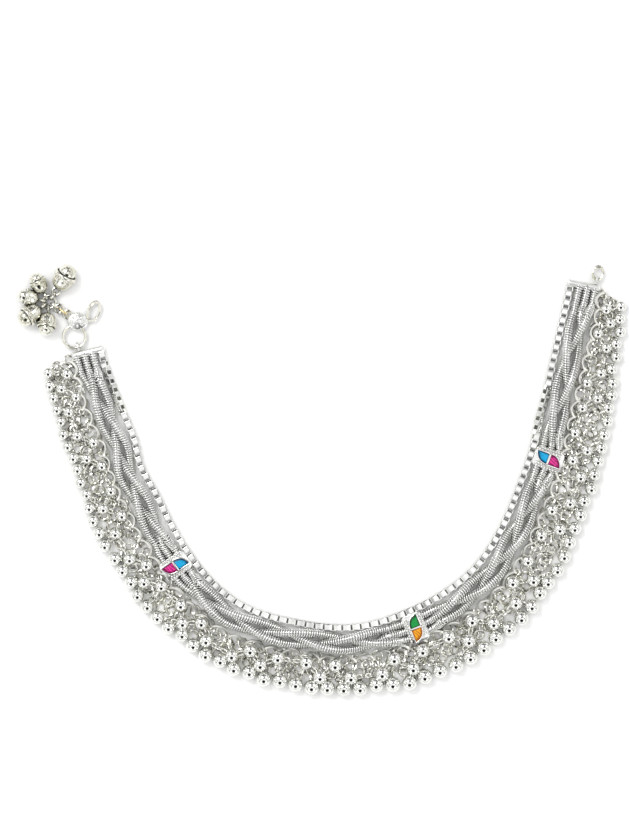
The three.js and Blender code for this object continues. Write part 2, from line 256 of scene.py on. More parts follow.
def startMaterial(name):
    material = bpy.data.materials.new(name)
    material.use_nodes = True
    tree = material.node_tree
    shader = tree.nodes["Principled BSDF"]
    coordinates = addNode(tree, "ShaderNodeTexCoord")
    return material, tree, shader, coordinates.outputs["Object"]


def noiseOf(tree, coordinates, scale, detail=3.0):
    noise = addNode(tree, "ShaderNodeTexNoise")
    noise.inputs["Scale"].default_value = scale
    noise.inputs["Detail"].default_value = detail
    tree.links.new(coordinates, noise.inputs["Vector"])
    return noise.outputs["Fac"]


def remap(tree, value, low, high, toLow, toHigh):
    node = addNode(tree, "ShaderNodeMapRange", interpolation_type="SMOOTHSTEP")
    node.inputs["From Min"].default_value = low
    node.inputs["From Max"].default_value = high
    node.inputs["To Min"].default_value = toLow
    node.inputs["To Max"].default_value = toHigh
    tree.links.new(value, node.inputs["Value"])
    return node.outputs["Result"]


def combine(tree, operation, a, b):
    node = addNode(tree, "ShaderNodeMath", operation=operation)
    for socket, value in zip(node.inputs, (a, b)):
        if isinstance(value, (int, float)):
            socket.default_value = value
        else:
            tree.links.new(value, socket)
    return node.outputs["Value"]


def mixColour(tree, factor, a, b):
    node = addNode(tree, "ShaderNodeMix", data_type="RGBA")
    tree.links.new(factor, node.inputs["Factor"])
    for socket, value in ((node.inputs[6], a), (node.inputs[7], b)):
        if isinstance(value, tuple):
            socket.default_value = (*value, 1.0)
        else:
            tree.links.new(value, socket)
    return node.outputs[2]


def bumpFrom(tree, shader, height, strength, distance):
    bump = addNode(tree, "ShaderNodeBump")
    bump.inputs["Strength"].default_value = strength
    bump.inputs["Distance"].default_value = distance
    tree.links.new(height, bump.inputs["Height"])
    tree.links.new(bump.outputs["Normal"], shader.inputs["Normal"])


# Silver: a clean and a worn tone for each skin, a dark tone painted into the crevices as shade,
# and a darker, warmer tone painted near the table as shade. Materials work in metres, and noise scales are
# per metre.
silverLook = {
    "clean": ((0.95, 0.95, 0.935), (0.8, 0.8, 0.765)),
    "round": ((0.9, 0.9, 0.87), (0.8, 0.8, 0.76)),
    "warm": ((0.92, 0.915, 0.87), (0.78, 0.77, 0.7)),
    "olive": ((0.86, 0.85, 0.77), (0.66, 0.65, 0.53)),
    "paintedCreviceShade": (0.2, 0.195, 0.155), "low": (0.72, 0.71, 0.61), "lowTop": 0.002, "lowFoot": 0.0002,
    "wearScale": 160.0, "lowShadePatchScale": 55.0, "roughScale": 700.0, "roughRange": 0.1,
    "grainScale": 1500.0, "grainDepth": 0.00008,
}
# For each finish: roughness, how dark the painted shade in its crevices goes and how far it
# reaches, how deep its grain is, and how much of it is worn.
silverFinishes = {
    "stamped": {"rough": 0.24, "paintedCreviceShade": 1.0, "reach": 0.0009, "grain": 0.4, "worn": 0.3, "skin": "clean"},
    "satin": {"rough": 0.38, "paintedCreviceShade": 0.6, "reach": 0.0008, "grain": 0.15, "worn": 0.2, "skin": "clean"},
    "bell": {"rough": 0.1, "paintedCreviceShade": 1.0, "reach": 0.0024, "grain": 0.1, "worn": 1.0, "skin": "olive"},
    "ball": {"rough": 0.04, "paintedCreviceShade": 0.26, "reach": 0.0022, "grain": 0.02, "worn": 0.5, "skin": "round"},
    "net": {"rough": 0.16, "paintedCreviceShade": 0.25, "reach": 0.0014, "grain": 0.05, "worn": 0.4, "skin": "warm"},
    "arc": {"rough": 0.32, "paintedCreviceShade": 0.3, "reach": 0.0008, "grain": 0.05, "worn": 0.2, "skin": "warm"},
    "coil": {"rough": 0.18, "paintedCreviceShade": 0.42, "reach": 0.00045, "grain": 0.05, "worn": 0.3, "skin": "clean"},
    "link": {"rough": 0.14, "paintedCreviceShade": 0.5, "reach": 0.0005, "grain": 0.05, "worn": 0.2, "skin": "clean"},
}


def hollowsOf(tree, reach):  # 1 in the open and 0 deep in a crevice
    hollows = addNode(tree, "ShaderNodeAmbientOcclusion", samples=6)
    hollows.inputs["Distance"].default_value = reach
    return hollows.outputs["AO"]


def silverMaterial(name):
    look, finish = silverLook, silverFinishes[name]
    material, tree, shader, place = startMaterial(name + "Silver")
    height = addNode(tree, "ShaderNodeSeparateXYZ")
    tree.links.new(place, height.inputs["Vector"])
    wear = remap(tree, noiseOf(tree, place, look["wearScale"], 4.0), 0.38, 0.68, 0.0, finish["worn"])
    # Painted shade near the table: below lowTop the skin goes toward the darker, warmer low tone, in noise
    # patches.
    lowShadePatches = remap(tree, noiseOf(tree, place, look["lowShadePatchScale"], 2.0), 0.3, 0.65, 0.2, 0.9)
    low = remap(tree, height.outputs["Z"], look["lowFoot"], look["lowTop"], 1.0, 0.0)
    skin = mixColour(tree, wear, *look[finish["skin"]])
    skin = mixColour(tree, combine(tree, "MULTIPLY", low, lowShadePatches), skin, look["low"])
    # Painted shade: ambient occlusion darkens crevices, and places close to other parts and to the table,
    # toward the dark tone.
    deep = remap(tree, hollowsOf(tree, finish["reach"]), 0.2, 0.85, finish["paintedCreviceShade"], 0.0)
    tree.links.new(mixColour(tree, deep, skin, look["paintedCreviceShade"]), shader.inputs["Base Color"])
    shader.inputs["Metallic"].default_value = 1.0
    smooth, dull = finish["rough"], finish["rough"] + look["roughRange"]
    rough = remap(tree, noiseOf(tree, place, look["roughScale"]), 0.3, 0.75, smooth, dull)
    tree.links.new(rough, shader.inputs["Roughness"])
    grain = noiseOf(tree, place, look["grainScale"], 2.0)
    bumpFrom(tree, shader, grain, finish["grain"], look["grainDepth"])
    return material


giltLook = {"bright": (0.98, 0.84, 0.5), "dull": (0.62, 0.5, 0.24), "patchScale": 900.0,
            "smooth": 0.16, "rough": 0.34, "roughScale": 1200.0,
            "grain": 0.2, "grainScale": 2600.0, "grainDepth": 0.0001}


def giltMaterial():
    look = giltLook
    material, tree, shader, place = startMaterial("giltWire")
    patches = remap(tree, noiseOf(tree, place, look["patchScale"]), 0.4, 0.65, 0.0, 1.0)
    tree.links.new(mixColour(tree, patches, look["bright"], look["dull"]), shader.inputs["Base Color"])
    shader.inputs["Metallic"].default_value = 1.0
    rough = remap(tree, noiseOf(tree, place, look["roughScale"]), 0.3, 0.7, look["smooth"], look["rough"])
    tree.links.new(rough, shader.inputs["Roughness"])
    bumpFrom(tree, shader, noiseOf(tree, place, look["grainScale"]), look["grain"], look["grainDepth"])
    return material


# Enamel, by material slot. Ridges say how strongly its chased ground shows through.
enamelLook = {
    "enamel_blue": {"deep": (0.0, 0.04, 0.1), "light": (0.0, 0.34, 0.64), "ridges": 0.1},
    "enamel_pink": {"deep": (0.16, 0.0, 0.06), "light": (0.78, 0.035, 0.3), "ridges": 0.7},
    "enamel_green": {"deep": (0.0, 0.035, 0.008), "light": (0.0, 0.27, 0.045), "ridges": 0.1},
    "enamel_orange": {"deep": (0.36, 0.1, 0.0), "light": (0.86, 0.36, 0.01), "ridges": 0.7},
}
glazeLook = {"cloudScale": 900.0, "ridgeScale": 620.0, "ridgeWaver": 2.0, "ridgeShare": 0.6,
             "ridgeDepth": 0.0001, "Roughness": 0.35, "Specular IOR Level": 0.2,
             "Coat Weight": 0.25, "Coat Roughness": 0.12}


# The darker rim is partly deeper glaze along the collet wall and partly painted shade from the wall.
def enamelMaterial(slotName):  # darker at the rim, lighter in the middle, ridges under the glaze
    look = enamelLook[slotName]
    material, tree, shader, place = startMaterial(slotName + "Glaze")
    rim = addNode(tree, "ShaderNodeAttribute", attribute_name="rimShade")
    cloud = remap(tree, noiseOf(tree, place, glazeLook["cloudScale"]), 0.3, 0.7, -0.2, 0.25)
    ridges = addNode(tree, "ShaderNodeTexWave", wave_type="BANDS", bands_direction="DIAGONAL")
    ridges.inputs["Scale"].default_value = glazeLook["ridgeScale"]
    ridges.inputs["Distortion"].default_value = glazeLook["ridgeWaver"]
    ridges.inputs["Detail"].default_value = 1.0
    tree.links.new(place, ridges.inputs["Vector"])
    ridgeShade = combine(tree, "MULTIPLY", ridges.outputs["Fac"], look["ridges"])
    shade = combine(tree, "ADD", rim.outputs["Fac"], cloud)
    shade = combine(tree, "ADD", shade, ridgeShade)
    factor = remap(tree, shade, 0.15, 1.0, 0.0, 1.0)
    tree.links.new(mixColour(tree, factor, look["light"], look["deep"]), shader.inputs["Base Color"])
    for socket in ("Roughness", "Specular IOR Level", "Coat Weight", "Coat Roughness"):
        shader.inputs[socket].default_value = glazeLook[socket]
    strength = look["ridges"] * glazeLook["ridgeShare"]
    bumpFrom(tree, shader, ridges.outputs["Fac"], strength, glazeLook["ridgeDepth"])
    return material


silver = {name: silverMaterial(name) for name in silverFinishes}
giltWire = giltMaterial()
glazes = {name: enamelMaterial(name) for name in enamelLook}
print("materials made")

# Box chain: flat strip links by turns with the flat face and the open side up. It is
# twisted a little between the given places, and lifts there to stay clear of the table.
chainLook = {
    "lengths": (2.4, 1.64), "wide": 2.1, "strip": 1.6, "thick": 0.3, "corner": 0.26, "edge": 0.06,
    "pitch": 2.74, "height": 1.1, "twists": ((5.0, 17.0), (207.0, 219.0)), "twistFade": 3.0,
    "twistTurn": math.radians(42), "twistLift": 0.17, "sway": 0.04, "swayRun": 5.3,
}


def boxLinkMesh(length):
    look = chainLook
    bm = newShape()
    bmesh.ops.create_cube(bm, size=1)
    bmesh.ops.scale(bm, vec=(length, look["strip"], look["wide"]), verts=bm.verts)
    corners = [edge for edge in bm.edges if abs((edge.verts[0].co - edge.verts[1].co).y) > 0.1]
    bevelEdges(bm, corners, look["corner"], 3)
    openSides = [face for face in bm.faces if abs(face.normal.y) > 0.9]
    bmesh.ops.inset_individual(bm, faces=openSides, thickness=look["thick"])
    bmesh.ops.delete(bm, geom=openSides, context="FACES_ONLY")
    rims = [edge for edge in bm.edges if edge.is_boundary]
    bmesh.ops.bridge_loops(bm, edges=rims)
    bmesh.ops.recalc_face_normals(bm, faces=bm.faces)
    bevelEdges(bm, sharpEdges(bm), look["edge"], 1)
    return toMesh(bm)


def chainTwist(s):
    look = chainLook
    fade = look["twistFade"]
    twist = 0.0
    for start, stop in look["twists"]:
        twist += smoothStep(s, start - fade, start) * (1 - smoothStep(s, stop, stop + fade))
    return twist * look["twistTurn"] + look["sway"] * math.sin(s / look["swayRun"])


def buildBoxChain():
    bm = newShape()
    links = [boxLinkMesh(length) for length in chainLook["lengths"]]
    count = 2 * int(band["length"] / chainLook["pitch"])
    for i in range(count):
        s = (i + 0.5) * band["length"] / count
        roll = chainTwist(s)
        lift = chainLook["twistLift"] * math.sin(2 * roll) ** 2
        turned = quarterTurn if i % 2 else 0.0
        height = chainLook["height"] + lift
        stamp(bm, links[i % 2], bandMatrix(s, sectionAt(chainColumn, s), height, roll + turned))
    finishPiece(bm, "box_chain_links", "box_chain", "silver", silver["link"])


buildBoxChain()
print("box chain made")

# Three coiled strands: fine wire wound round each run of the plait. The strands lie side
# by side at the stations, where the enamel plates are, and at the ends. Crossings are
# how often they change places between two such places, and radius is the CAD's.
braidLook = {
    "reach": 2.2, "inward": 0.4, "rise": 1.6, "height": 2.95, "flatReach": 2.85, "flatHeight": 1.35,
    "flatHalf": 4.2, "flatFade": 4.0, "plaitStart": 7.5, "crossings": (6, 7, 6, 4),
    "stations": (66.0, 138.5, 200.0), "radius": 1.05,
}
coilLook = {"wire": 0.26, "radius": 1.09, "core": 0.82, "coreSteps": 400, "pitch": 0.74,
            "over": 1.3, "perTurn": 10, "samples": 1500}


def flatPlaces():
    return (0.0, *braidLook["stations"], band["length"])


def flatness(s):
    near = min(abs(s - place) for place in flatPlaces())
    return 1 - smoothStep(near, braidLook["flatHalf"], braidLook["flatHalf"] + braidLook["flatFade"])


def crossingsBefore(s):
    places = flatPlaces()
    count = 0.0
    for i, whole in enumerate(braidLook["crossings"]):
        start = places[i] + braidLook["plaitStart"]
        stop = places[i + 1] - braidLook["plaitStart"]
        count += whole * min(max((s - start) / (stop - start), 0.0), 1.0)
    return count


def strandPoint(s, index):
    flat = flatness(s)
    angle = (crossingsBefore(s) / 6 + index / 3) * 2 * math.pi
    reach = braidLook["reach"] + (braidLook["flatReach"] - braidLook["reach"]) * flat
    middle = braidLook["height"] + (braidLook["flatHeight"] - braidLook["height"]) * flat
    outward = sectionAt(braidColumn, s) + reach * math.sin(angle) - braidLook["inward"] * (1 - flat)
    height = middle + braidLook["rise"] * (1 - flat) * math.sin(2 * angle)
    return bandPoint(s, outward, height)


def strandRun(index, count):
    span = band["length"] + 2 * coilLook["over"]
    return [strandPoint(span * i / count - coilLook["over"], index) for i in range(count + 1)]


def strandHelix(index):
    look = coilLook
    count = look["samples"]
    places = strandRun(index, count)
    lengths = [0.0]
    for a, b in zip(places, places[1:]):
        lengths.append(lengths[-1] + (b - a).length)
    turns = int(lengths[-1] / look["pitch"])
    step = lengths[-1] / (turns * look["perTurn"])
    helix = []
    at = 0
    for i in range(turns * look["perTurn"] + 1):
        reach = i * step
        while at < count - 1 and lengths[at + 1] < reach:
            at += 1
        a, b = places[at], places[at + 1]
        along = (b - a).normalized()
        centre = a + along * (reach - lengths[at])
        side = along.cross(Vector((0, 0, 1))).normalized()
        up = side.cross(along)
        angle = 2 * math.pi * i / look["perTurn"] + index
        helix.append(centre + look["radius"] * (math.cos(angle) * side + math.sin(angle) * up))
    return helix


def buildStrands():
    for index, letter in enumerate("abc"):
        bm = newShape()
        bm.from_mesh(wireMesh([strandHelix(index)], coilLook["wire"]))
        bm.from_mesh(wireMesh([strandRun(index, coilLook["coreSteps"])], coilLook["core"]))
        node = "coil_strand_" + letter
        finishPiece(bm, node + "_winding", node, "coil_silver", silver["coil"], sharp=75)


buildStrands()
print("coiled strands made")

# Enamel plates: a plate with rows of grains and two half-leaf collets with glazed cells.
plateLook = {
    "along": 6.2, "across": 8.8, "thick": 0.8, "corner": 1.3, "edge": 0.18, "bottom": 2.5,
    "collet": 0.9, "lip": 0.12, "sunk": 0.05,
    "bead": 0.38, "beadLift": 0.05, "beadPitch": 0.86, "rows": 3, "perRow": 8, "rowPitch": 0.7482,
    "firstRow": 2.75, "rowShift": 0.3,
}
# A cell's outline is half a leaf, and the curve's shares of its length, half width and
# length steer the bulge. The glaze rises in two steps, each with its inset, its rise and
# how dark it is there; the dark rim is partly deeper glaze and partly painted shade.
cellLook = {
    "width": 2.8, "length": 3.5, "curve": (0.55, 0.4, 0.85), "curveSteps": 12, "depth": 0.7,
    "wall": 0.4, "play": 0.2, "colletPlay": 0.7, "glazePlay": 0.6, "base": 0.28, "crown": 0.22,
    "steps": ((0.34, 0.12, 0.9), (0.26, 0.08, 0.05)),
}
plateStations = (
    {"name": "left", "inner": "enamel_blue", "outer": "enamel_pink"},
    {"name": "middle", "inner": "enamel_green", "outer": "enamel_orange"},
    {"name": "right", "inner": "enamel_blue", "outer": "enamel_pink"},
)


def leafOutline(margin):  # half a leaf with its base on the X axis
    steps = cellLook["curveSteps"]
    half = cellLook["width"] / 2 + margin
    tip = -cellLook["length"] - margin
    upper, inward, lower = cellLook["curve"]
    a, b = Vector((half, margin)), Vector((half, upper * tip))
    c, d = Vector((inward * half, lower * tip)), Vector((-half, tip))
    points = []
    for i in range(steps + 1):
        t = i / steps
        u = 1 - t
        points.append(a * u ** 3 + 3 * b * t * u ** 2 + 3 * c * t * t * u + d * t ** 3)
    points.append(Vector((-half, margin)))
    return points


def outlineFace(bm, points):
    return bm.faces.new([bm.verts.new((point.x, point.y, 0)) for point in points])


def raiseFaces(bm, faces, height):  # straight up, with walls below, and gives the new ones
    raised = bmesh.ops.extrude_face_region(bm, geom=faces)["geom"]
    verts = [item for item in raised if isinstance(item, bmesh.types.BMVert)]
    bmesh.ops.translate(bm, vec=(0, 0, height), verts=verts)
    return [item for item in raised if isinstance(item, bmesh.types.BMFace)]


def plateMesh():
    look = plateLook
    bm = newShape()
    bmesh.ops.create_cube(bm, size=1)
    bmesh.ops.scale(bm, vec=(look["along"], look["across"], look["thick"]), verts=bm.verts)
    bmesh.ops.translate(bm, vec=(0, 0, look["thick"] / 2), verts=bm.verts)
    uprights = [edge for edge in bm.edges if abs((edge.verts[0].co - edge.verts[1].co).z) > 0.1]
    bevelEdges(bm, uprights, look["corner"], 5)
    bevelEdges(bm, sharpEdges(bm), look["edge"], 3)
    return closedMesh(bm)


def colletMesh():
    bm = newShape()
    outer = outlineFace(bm, leafOutline(cellLook["play"] + cellLook["wall"]))
    inner = outlineFace(bm, leafOutline(cellLook["play"] * cellLook["colletPlay"]))
    edges = outer.edges[:] + inner.edges[:]
    bmesh.ops.delete(bm, geom=[outer, inner], context="FACES_ONLY")
    ring = bmesh.ops.bridge_loops(bm, edges=edges)["faces"]
    raiseFaces(bm, ring, plateLook["collet"])
    bmesh.ops.recalc_face_normals(bm, faces=bm.faces)
    lips = [edge for edge in sharpEdges(bm) if min(vert.co.z for vert in edge.verts) > 0.1]
    bevelEdges(bm, lips, plateLook["lip"], 2)
    bmesh.ops.translate(bm, vec=(0, -cellLook["base"], 0), verts=bm.verts)
    return toMesh(bm)


def buildGlaze(station, side, matrix):
    bm = newShape()
    face = outlineFace(bm, leafOutline(cellLook["play"] * cellLook["glazePlay"]))
    bmesh.ops.recalc_face_normals(bm, faces=[face])
    if face.normal.z < 0:
        face.normal_flip()
    top = raiseFaces(bm, [face], cellLook["depth"] - cellLook["crown"])[0]
    # rimShade is darkest at the glaze's rim: partly deeper glaze, partly painted shade from the collet
    # wall.
    shadeLayer = bm.verts.layers.float.new("rimShade")
    for vert in bm.verts:
        vert[shadeLayer] = 1.0
    for inset, rise, shade in cellLook["steps"]:
        bmesh.ops.inset_individual(bm, faces=[top], thickness=inset, depth=rise)
        for vert in top.verts:
            vert[shadeLayer] = shade
    bmesh.ops.recalc_face_normals(bm, faces=bm.faces)
    bmesh.ops.translate(bm, vec=(0, -cellLook["base"], 0), verts=bm.verts)
    bmesh.ops.transform(bm, matrix=matrix, verts=bm.verts)
    node = f"enamel_{station['name']}_{side}"
    slotName = station[side]
    finishPiece(bm, node + "_glaze", node, slotName, glazes[slotName], sharp=60)


def buildStation(station, s):
    look = plateLook
    place = bandMatrix(s, sectionAt(braidColumn, s), look["bottom"])
    topPlace = place @ Matrix.Translation((0, 0, look["thick"]))
    sunk = Matrix.Translation((0, 0, -look["sunk"]))
    turns = {"inner": Matrix.Rotation(math.pi, 4, "Z"), "outer": Matrix.Identity(4)}
    bm = newShape()
    stamp(bm, plateMesh(), place)
    collet = colletMesh()
    stamp(bm, collet, topPlace @ sunk)
    stamp(bm, collet, topPlace @ turns["inner"] @ sunk)
    bead = sphereMesh(look["bead"], 12, 8)
    for side in (-1, 1):
        for row in range(look["rows"]):
            for step in range(look["perRow"]):
                x = side * (look["firstRow"] - row * look["rowPitch"])
                y = (step - look["perRow"] / 2 + 0.5 * (row % 2)) * look["beadPitch"] + look["rowShift"]
                stamp(bm, bead, topPlace @ Matrix.Translation((x, y, look["beadLift"])))
    node = f"enamel_plate_{station['name']}"
    finishPiece(bm, node + "_setting", node, "silver", silver["link"])
    floor = Matrix.Translation((0, 0, look["collet"] - cellLook["depth"]))
    for side, turn in turns.items():
        buildGlaze(station, side, topPlace @ turn @ floor)


for plateStation, plateAt in zip(plateStations, braidLook["stations"]):
    buildStation(plateStation, plateAt)
print("enamel plates made")

# Fringe of round bells: an outer row and an inner zigzag row. It is two nodes, which
# meet at the split.
fringeLook = {
    "radiusEnd": 1.62, "radiusGain": 0.5, "swell": 1.1, "pitch": 2.32, "first": 1.6, "end": 1.0,
    "skip": 5, "jitter": 0.5, "lift": 0.6, "plateClear": 0.6, "lean": 1.2, "split": 118.0,
    "lug": 0.42, "lugWire": 0.16, "lugOut": 0.25,
}
# The net that carries them: runs of oval links, eyelets, rings beside the outer row, rows
# of loose rings, and arcs of thicker wire that bulge toward the plait.
netLook = {
    "linkLength": 2.0, "linkWide": 1.25, "linkWire": 0.27, "linkRoll": math.radians(25),
    "linkGap": 0.95, "leastRun": 0.5,
    "eyelet": 0.85, "eyeletWire": 0.26, "eyeletStretch": 1.25, "eyeletOut": 1.1,
    "eyeletSwing": 0.6, "eyeletTilt": 0.4,
    "ring": 1.6, "ringWire": 0.3, "ringInward": 0.6, "ringScatter": 0.9, "ringLean": 0.7,
    "start": 1.0, "rows": 4, "rowStep": 2.0, "pitch": 3.1, "loose": 1.4, "along": 0.6, "across": 1.2,
    "looseLean": 0.8, "margin": 1.0,
    "arcPitch": 4.6, "arcOver": 1.05, "arcWire": 0.45, "arcRise": 1.9, "arcRound": 0.7,
    "arcFoot": 5.4, "arcScatter": 0.6, "arcHeight": 1.7, "arcLift": 1.1, "arcBob": 0.3,
    "footHeight": 0.9, "footGap": 0.4, "footEyelet": 1.1, "footTurn": 6.0, "footLean": 0.5,
}
ballFinish, netFinish, arcFinish = 0, 1, 2


def ballRadius(s):
    swell = math.sin(math.pi * s / band["length"])
    return fringeLook["radiusEnd"] + fringeLook["radiusGain"] * swell * swell


def turnRate(s):
    index = min(int(s // band["arc"]), len(band["turns"]) - 1)
    return math.radians(band["turns"][index]) / band["arc"]


def outerBalls():
    balls = []
    s = fringeLook["first"]
    while s < band["length"] - fringeLook["end"]:
        radius = ballRadius(s)
        depth = sectionAt(fringeColumn, s)
        outward = depth + fringeLook["jitter"] * 2 * jitter(len(balls), 1)
        grown = radius * (fringeLook["swell"] - 1)
        centre = bandPoint(s, outward - grown, radius + grown)
        balls.append({"s": s, "radius": radius, "centre": centre})
        s += fringeLook["pitch"] * radius / (1 + turnRate(s) * depth)
    return balls


def innerBalls(outer):  # by turns near the plait and halfway to the outer row
    balls = []
    for i in range(len(outer) - 1):
        s = (outer[i]["s"] + outer[i + 1]["s"]) / 2
        radius = ballRadius(s)
        plaitEdge = sectionAt(braidColumn, s) + braidLook["flatReach"] + braidLook["radius"]
        braidEdge = plaitEdge + fringeLook["plateClear"] * flatness(s) + band["clearance"]
        near = braidEdge + radius + fringeLook["jitter"] * (0.5 + jitter(i, 2))
        far = (near + sectionAt(fringeColumn, s)) / 2
        outward = near if i % 2 == 0 else far
        lift = fringeLook["lift"] * (0.5 + jitter(i, 3))
        if i % fringeLook["skip"] != fringeLook["skip"] - 1:
            centre = bandPoint(s, outward, radius + lift)
            balls.append({"s": s, "radius": radius, "centre": centre})
    return balls


def turnToward(along):  # turns the X axis to a direction
    return Vector((1, 0, 0)).rotation_difference(along).to_matrix().to_4x4()


def linkRun(bm, link, a, b, shorten):  # a few oval links from a to b, by turns flat and standing
    look = netLook
    span = b - a
    whole = span.length - 2 * shorten
    if whole < look["leastRun"]:
        return
    count = max(1, round(whole / (look["linkLength"] - 2 * look["linkWire"])))
    along = span.normalized()
    stretch = (whole / count + 2 * look["linkWire"]) / look["linkLength"]
    for i in range(count):
        middle = Matrix.Translation(a + along * (shorten + whole * (i + 0.5) / count))
        roll = Matrix.Rotation(look["linkRoll"] + quarterTurn * (i % 2), 4, "X")
        size = Matrix.Scale(stretch, 4, (1, 0, 0))
        stamp(bm, link, middle @ turnToward(along) @ roll @ size, netFinish)


def arcPaths(start, stop):
    look = netLook
    paths = []
    count = int(band["length"] / look["arcPitch"])
    pitch = band["length"] / count
    for i in range(count):
        s = (i + 0.5) * pitch
        if not start <= s < stop:
            continue
        foot = sectionAt(braidColumn, s) + look["arcFoot"] + look["arcScatter"] * jitter(i, 7)
        low = look["arcHeight"] + look["arcBob"] * jitter(i, 8)
        points = []
        for k in range(9):
            t = k / 8
            bulge = math.sin(math.pi * t) ** look["arcRound"]
            along = s + (t - 0.5) * pitch * look["arcOver"]
            outward = foot - look["arcRise"] * bulge
            points.append(bandPoint(along, outward, low + look["arcLift"] * bulge))
        paths.append(smoothPath(points, 3))
    return paths


def netEdge(s):  # where the net starts, just past the plait
    return sectionAt(braidColumn, s) + braidLook["flatReach"] + braidLook["radius"] + netLook["start"]


def stampLoose(bm, ring, s, outward, radius, tiltX, tiltY):  # a ring that leans, just above the table
    height = netLook["ringWire"] + radius * (abs(math.sin(tiltX)) + abs(math.sin(tiltY)))
    lean = Matrix.Rotation(tiltX, 4, "X") @ Matrix.Rotation(tiltY, 4, "Y")
    stamp(bm, ring, Matrix.Translation(bandPoint(s, outward, height)) @ lean, netFinish)


def nearestBall(balls, place):
    return min(balls, key=lambda item: (item["centre"] - place).length)


def fringeShapes():
    look = netLook
    oval = look["linkLength"] / look["linkWide"]
    return {
        "ball": sphereMesh(1.0, 24, 14),
        "lug": torusMesh(fringeLook["lug"], fringeLook["lugWire"], 1.0, 12, 6),
        "link": torusMesh(look["linkWide"] / 2, look["linkWire"], oval, 12, 6),
        "eyelet": torusMesh(look["eyelet"], look["eyeletWire"], look["eyeletStretch"], 14, 6),
        "ring": torusMesh(look["ring"], look["ringWire"], 1.0, 18, 6),
        "loose": torusMesh(look["loose"], look["ringWire"], 1.0, 16, 6),
    }


def stampBall(bm, shapes, item):
    heading = Matrix.Rotation(edgeAt(item["s"])[2], 4, "Z")
    lean = Matrix.Rotation(fringeLook["lean"], 4, "X")
    size = Matrix.Scale(item["radius"] * fringeLook["swell"], 4)
    place = Matrix.Translation(item["centre"]) @ heading @ lean @ size
    stamp(bm, shapes["ball"], place, ballFinish)


def hangBall(bm, shapes, item, carrier):  # its lug, an eyelet and the links up to its carrier
    look = netLook
    linkRun(bm, shapes["link"], item["centre"], carrier["centre"], item["radius"] * look["linkGap"])
    toward = (carrier["centre"] - item["centre"]).normalized()
    swing = Matrix.Rotation(look["eyeletSwing"] + jitter(int(10 * item["s"]), 21), 4, "X")
    tilt = Matrix.Rotation(look["eyeletTilt"], 4, "Y")
    place = Matrix.Translation(item["centre"] + toward * (item["radius"] + look["eyeletOut"]))
    stamp(bm, shapes["eyelet"], place @ swing @ tilt, netFinish)
    place = Matrix.Translation(item["centre"] + toward * (item["radius"] + fringeLook["lugOut"]))
    stamp(bm, shapes["lug"], place @ turnToward(toward) @ upright, ballFinish)


def addArcs(bm, shapes, start, stop, balls):  # each arc has an eyelet and links at its far foot
    look = netLook
    arcs = arcPaths(start, stop)
    stamp(bm, wireMesh(arcs, look["arcWire"]), Matrix.Identity(4), arcFinish)
    for index, arc in enumerate(arcs):
        foot = arc[-1]
        turn = Matrix.Rotation(look["footTurn"] * jitter(index, 11), 4, "Z")
        lean = Matrix.Rotation(look["footLean"] + jitter(index, 12), 4, "X")
        place = Matrix.Translation((foot.x, foot.y, look["footEyelet"]))
        stamp(bm, shapes["eyelet"], place @ turn @ lean, netFinish)
        target = nearestBall(balls, foot)
        gap = look["footGap"] * target["radius"]
        below = Vector((foot.x, foot.y, look["footHeight"]))
        linkRun(bm, shapes["link"], below, target["centre"], gap)


def addRowRings(bm, shapes, hanging):  # one ring just inside each outer ball
    look = netLook
    for index, item in enumerate(hanging):
        inward = 2.0 * item["radius"] + look["ringInward"]
        outward = sectionAt(fringeColumn, item["s"]) - inward + look["ringScatter"] * jitter(index, 15)
        tilts = [look["ringLean"] * jitter(index, salt) for salt in (16, 17)]
        stampLoose(bm, shapes["ring"], item["s"] + jitter(index, 18), outward, look["ring"], *tilts)


def addLooseRings(bm, shapes, start, stop):
    look = netLook
    for row in range(look["rows"]):
        for index in range(int((stop - start) / look["pitch"])):
            steps = index + 0.5 * (row % 2) + look["along"] * jitter(index, 30 + row)
            s = max(start, 0.0) + steps * look["pitch"]
            outward = netEdge(s) + row * look["rowStep"] + look["across"] * jitter(index, 33 + row)
            tilts = [look["looseLean"] * jitter(index, salt + row) for salt in (36, 39)]
            inside = outward < sectionAt(fringeColumn, s) - look["margin"]
            if inside and s < band["length"] - look["margin"]:
                stampLoose(bm, shapes["loose"], s, outward, look["loose"], *tilts)


def buildFringe():
    outer = outerBalls()
    inner = innerBalls(outer)
    shapes = fringeShapes()
    split = fringeLook["split"]
    for name, start, stop in (("left", -1.0, split), ("right", split, band["length"] + 1)):
        near = [item for item in inner if start <= item["s"] < stop]
        hanging = [item for item in outer if start <= item["s"] < stop]
        bm = newShape()
        for item in near + hanging:
            stampBall(bm, shapes, item)
        for item, following in zip(near, near[1:]):
            gap = item["radius"] * netLook["linkGap"]
            linkRun(bm, shapes["link"], item["centre"], following["centre"], gap)
        for item in hanging:
            hangBall(bm, shapes, item, nearestBall(near, item["centre"]))
        addArcs(bm, shapes, start, stop, near + hanging)
        addRowRings(bm, shapes, hanging)
        addLooseRings(bm, shapes, start, stop)
        node = "ghungroo_fringe_" + name
        finishes = (silver["ball"], silver["net"], silver["arc"])
        finishPiece(bm, node + "_balls", node, "silver", *finishes, sharp=50)


buildFringe()
print("fringe made")

# End plates: a satin bar across the band's ends, with a standing eye.
endLook = {"along": 2.2, "thick": 2.3, "inner": 1.3, "outer": 3.9, "edge": 1.0}
eyeLook = {
    "hook": {"s": 0.0, "outward": 7.9, "radius": 1.15, "reach": 1.35},
    "ring": {"s": band["length"], "outward": 6.2, "radius": 1.1, "reach": 1.3},
}
# The wire of the eyes and rings of the clasp, and the height of its middle.
claspLook = {"wire": 0.35, "height": 1.55, "small": 1.2, "around": 28, "across": 10}


def claspRing(radius, stretch=1.0):
    return torusMesh(radius, claspLook["wire"], stretch, claspLook["around"], claspLook["across"])


def headed(heading, reach):  # a step of this length over the table
    return Vector((math.cos(heading), math.sin(heading), 0)) * reach


